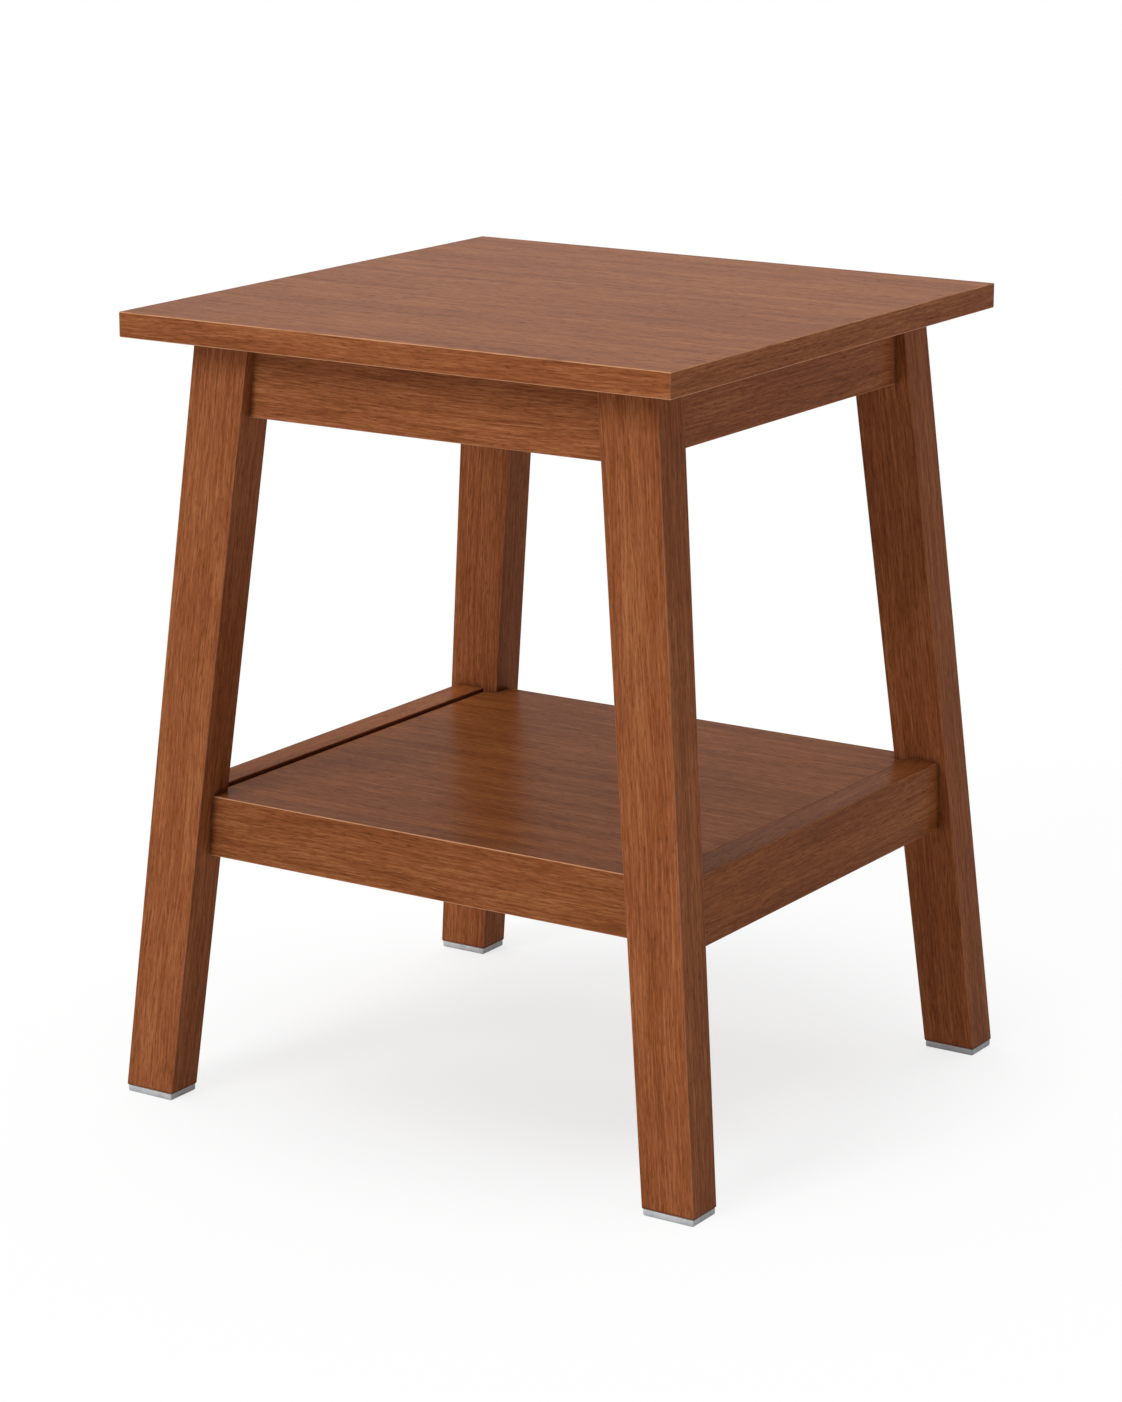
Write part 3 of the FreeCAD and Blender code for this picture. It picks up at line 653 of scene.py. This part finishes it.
def screw_tree(name, sizes):
    """A screw along z whose head starts at z = 0: a pan with a sloped rim, or a cone that is let in."""
    tree, given, set_on_points = fastener_tree(name, sizes)
    cones = []
    for top, bottom in (("Neck Radius", "Head Radius"), ("Flare Radius", "Rim Radius")):
        cone = add_node(tree, "GeometryNodeMeshCone", {
            "Vertices": HEAD_ROUND, "Radius Top": given[top], "Radius Bottom": given[bottom],
            "Depth": given["Head Height"]})
        cones.append(cone.outputs["Mesh"])
    head = add_node(tree, "GeometryNodeMeshBoolean", {
        "Mesh 2": cones}, operation="INTERSECT", solver="MANIFOLD")

    # The cross recess: two wings that narrow towards its floor, half of them inside the head
    size = add_node(tree, "ShaderNodeCombineXYZ", {
        "X": given["Recess Width"], "Y": given["Recess Slot"], "Z": given["Recess Height"]})
    wing = add_node(tree, "GeometryNodeMeshCube", {"Size": size.outputs["Vector"]})
    place = add_node(tree, "GeometryNodeInputPosition").outputs["Position"]
    level = add_node(tree, "ShaderNodeSeparateXYZ", {"Vector": place}).outputs["Z"]
    floor_side = add_node(tree, "FunctionNodeCompare", {"A": level}, operation="GREATER_THAN")
    narrowed = add_node(tree, "ShaderNodeVectorMath", {
        "Vector": place, "Vector_001": (RECESS_FLOOR_SHARE, RECESS_FLOOR_SHARE, 1.0)}, operation="MULTIPLY")
    wing = add_node(tree, "GeometryNodeSetPosition", {
        "Geometry": wing.outputs["Mesh"], "Selection": floor_side.outputs["Result"],
        "Position": narrowed.outputs["Vector"]})
    crossed = add_node(tree, "GeometryNodeTransform", {
        "Geometry": wing.outputs["Geometry"], "Rotation": (0, 0, math.pi / 2)})
    head = add_node(tree, "GeometryNodeMeshBoolean", {
        "Mesh 1": head.outputs["Mesh"], "Mesh 2": [wing.outputs["Geometry"], crossed.outputs["Geometry"]]},
        operation="DIFFERENCE", solver="MANIFOLD")

    # The shank starts inside the head, below the recess
    shank = threaded_shank(tree, given, "Shank", POINT_END_SHARE)
    start = add_node(tree, "ShaderNodeCombineXYZ", {"Z": given["Shank Start"]})
    shank = add_node(tree, "GeometryNodeTransform", {
        "Geometry": shank, "Translation": start.outputs["Vector"]})
    set_on_points([head.outputs["Mesh"], shank.outputs["Geometry"]])
    return tree


for screws, head_height, neck_radius, rim_radius in (
        ("bracket_screws", PAN_HEIGHT, HEAD_RADIUS, PAN_RIM_RADIUS),
        ("top_screws", PAN_HEIGHT, HEAD_RADIUS, PAN_RIM_RADIUS),
        ("cleat_screws", SUNK_HEIGHT, SCREW_RADIUS, HEAD_RADIUS),
        ("shelf_screws", SUNK_HEIGHT, SCREW_RADIUS, HEAD_RADIUS)):
    screw_places, screw_length = fastener_places(screws, longest_way)
    shank_start = head_height * SHANK_START_SHARE
    screw_sizes = {
        "Head Radius": HEAD_RADIUS,
        "Head Height": head_height,
        "Neck Radius": neck_radius,
        "Rim Radius": rim_radius,
        "Flare Radius": rim_radius + head_height,
        "Recess Width": RECESS_WIDTH,
        "Recess Slot": RECESS_SLOT,
        "Recess Height": RECESS_DEPTH * 2,
        "Shank Start": shank_start,
        **thread_sizes("Shank", screw_length - shank_start, SCREW_PITCH, SCREW_RADIUS, SCREW_CORE_RADIUS,
                       SCREW_POINT_LENGTH),
    }
    screw = screw_tree("tree_of_" + screws, screw_sizes)
    fasten("threaded_" + screws, screws, screw, screw_places, screw_sizes)

# Studio: a pale floor, one soft lamp from the front, a very wide one from nearly overhead, and grey
# surroundings. The camera stands where the photograph was taken from.
KEY_TURN, KEY_RISE, KEY_STRENGTH, KEY_ANGLE = -12, 30, 1.72, 26
OVERHEAD_TURN, OVERHEAD_RISE, OVERHEAD_STRENGTH, OVERHEAD_ANGLE = -120, 75, 2.25, 90
SURROUNDINGS_WHITE = "#ffffff"
SURROUNDINGS = 0.155
SURROUNDINGS_SEEN = 0.62
FLOOR_SEEN = "#f4f4f4"
FLOOR_PAINT = "#f6f6f6"
FLOOR_GLOW_NEAR, FLOOR_GLOW_FAR = 0.69, 0.92
FLOOR_SHADE_MIDDLE = (-25 * MM, 55 * MM, 0)
FLOOR_SHADE_FULL = 160 * MM
FLOOR_SHADE_GONE = 440 * MM
FLOOR_HALF = 30.0
# The width of the sensor lies along the longer side of the picture, which is its height
PHOTO_HEIGHT_PX = 1402
FOCAL_LENGTH_PX = 3971
CAMERA_PLACE = (1.5266, -2.3507, 1.0149)
CAMERA_AZIMUTH = 33.08
CAMERA_ELEVATION = 14.63
SENSOR = 36.0


def soft_lamp(name, turn, rise, strength, angle):
    """A distant lamp that looks so many degrees wide, turned from the front and raised from the floor."""
    lamp = bpy.data.lights.new(name, "SUN")
    lamp.energy = strength
    lamp.angle = math.radians(angle)
    holder = bpy.data.objects.new(name, lamp)
    holder.rotation_euler = (math.radians(90 - rise), 0, math.radians(turn))
    bpy.context.scene.collection.objects.link(holder)


def seen_directly(tree):
    """One for what the camera sees, also in a reflection or through glass, and nought for other light."""
    path = add_node(tree, "ShaderNodeLightPath").outputs
    seen = path["Is Camera Ray"]
    for ray in ("Is Glossy Ray", "Is Transmission Ray"):
        seen = add_node(tree, "ShaderNodeMath", {
            "Value": seen, "Value_001": path[ray]}, operation="MAXIMUM").outputs["Value"]
    return seen


def studio_floor_paint():
    """White to the eye, with the table's shadow near the table, and plain white paint to other light.

    From below it is clear, so that the underside of the table can be seen.
    """
    material, tree, shader = new_material("studio_floor_paint")
    tree.nodes.remove(shader)
    paint = add_node(tree, "ShaderNodeBsdfDiffuse", {"Color": linear(FLOOR_PAINT)})
    seen = add_node(tree, "ShaderNodeBsdfDiffuse", {"Color": linear(FLOOR_SEEN)})
    glow = add_node(tree, "ShaderNodeEmission", {"Strength": 1.0})
    place = add_node(tree, "ShaderNodeTexCoord").outputs["Object"]
    away = add_node(tree, "ShaderNodeVectorMath", {
        "Vector": place, "Vector_001": FLOOR_SHADE_MIDDLE}, operation="DISTANCE")
    lit = add_node(tree, "ShaderNodeMapRange", {
        "Value": away.outputs["Value"], "From Min": FLOOR_SHADE_FULL, "From Max": FLOOR_SHADE_GONE,
        "To Min": FLOOR_GLOW_NEAR, "To Max": FLOOR_GLOW_FAR}, interpolation_type="SMOOTHSTEP")
    white = add_node(tree, "ShaderNodeMixShader", {
        "Fac": lit.outputs["Result"], "Shader": seen.outputs["BSDF"], "Shader_001": glow.outputs["Emission"]})
    above = add_node(tree, "ShaderNodeMixShader", {
        "Fac": seen_directly(tree), "Shader": paint.outputs["BSDF"], "Shader_001": white.outputs["Shader"]})
    clear = add_node(tree, "ShaderNodeBsdfTransparent")
    side = add_node(tree, "ShaderNodeNewGeometry").outputs["Backfacing"]
    both = add_node(tree, "ShaderNodeMixShader", {
        "Fac": side, "Shader": above.outputs["Shader"], "Shader_001": clear.outputs["BSDF"]})
    tree.links.new(both.outputs["Shader"], tree.nodes["Material Output"].inputs["Surface"])
    return material


floor_corners = [(x * FLOOR_HALF, y * FLOOR_HALF, 0) for x, y in ((-1, -1), (1, -1), (1, 1), (-1, 1))]
floor_mesh = bpy.data.meshes.new("studio_floor")
floor_mesh.from_pydata(floor_corners, [], [(0, 1, 2, 3)])
floor_mesh.materials.append(studio_floor_paint())
floor = bpy.data.objects.new("studio_floor", floor_mesh)
bpy.context.scene.collection.objects.link(floor)

soft_lamp("key_lamp", KEY_TURN, KEY_RISE, KEY_STRENGTH, KEY_ANGLE)
soft_lamp("overhead_lamp", OVERHEAD_TURN, OVERHEAD_RISE, OVERHEAD_STRENGTH, OVERHEAD_ANGLE)
world = bpy.data.worlds.new("studio_surroundings")
world.use_nodes = True
sky = world.node_tree
level = add_node(sky, "ShaderNodeMapRange", {
    "Value": seen_directly(sky), "To Min": SURROUNDINGS, "To Max": SURROUNDINGS_SEEN})
sky.nodes["Background"].inputs["Color"].default_value = linear(SURROUNDINGS_WHITE)
sky.links.new(level.outputs["Result"], sky.nodes["Background"].inputs["Strength"])
bpy.context.scene.world = world

camera = bpy.data.cameras.new("camera")
camera.sensor_width = SENSOR
camera.lens = SENSOR * FOCAL_LENGTH_PX / PHOTO_HEIGHT_PX
camera_holder = bpy.data.objects.new("camera", camera)
camera_holder.location = CAMERA_PLACE
camera_holder.rotation_euler = (math.radians(90 - CAMERA_ELEVATION), 0, math.radians(CAMERA_AZIMUTH))
bpy.context.scene.collection.objects.link(camera_holder)
bpy.context.scene.camera = camera_holder
bpy.context.scene.view_settings.view_transform = "Standard"
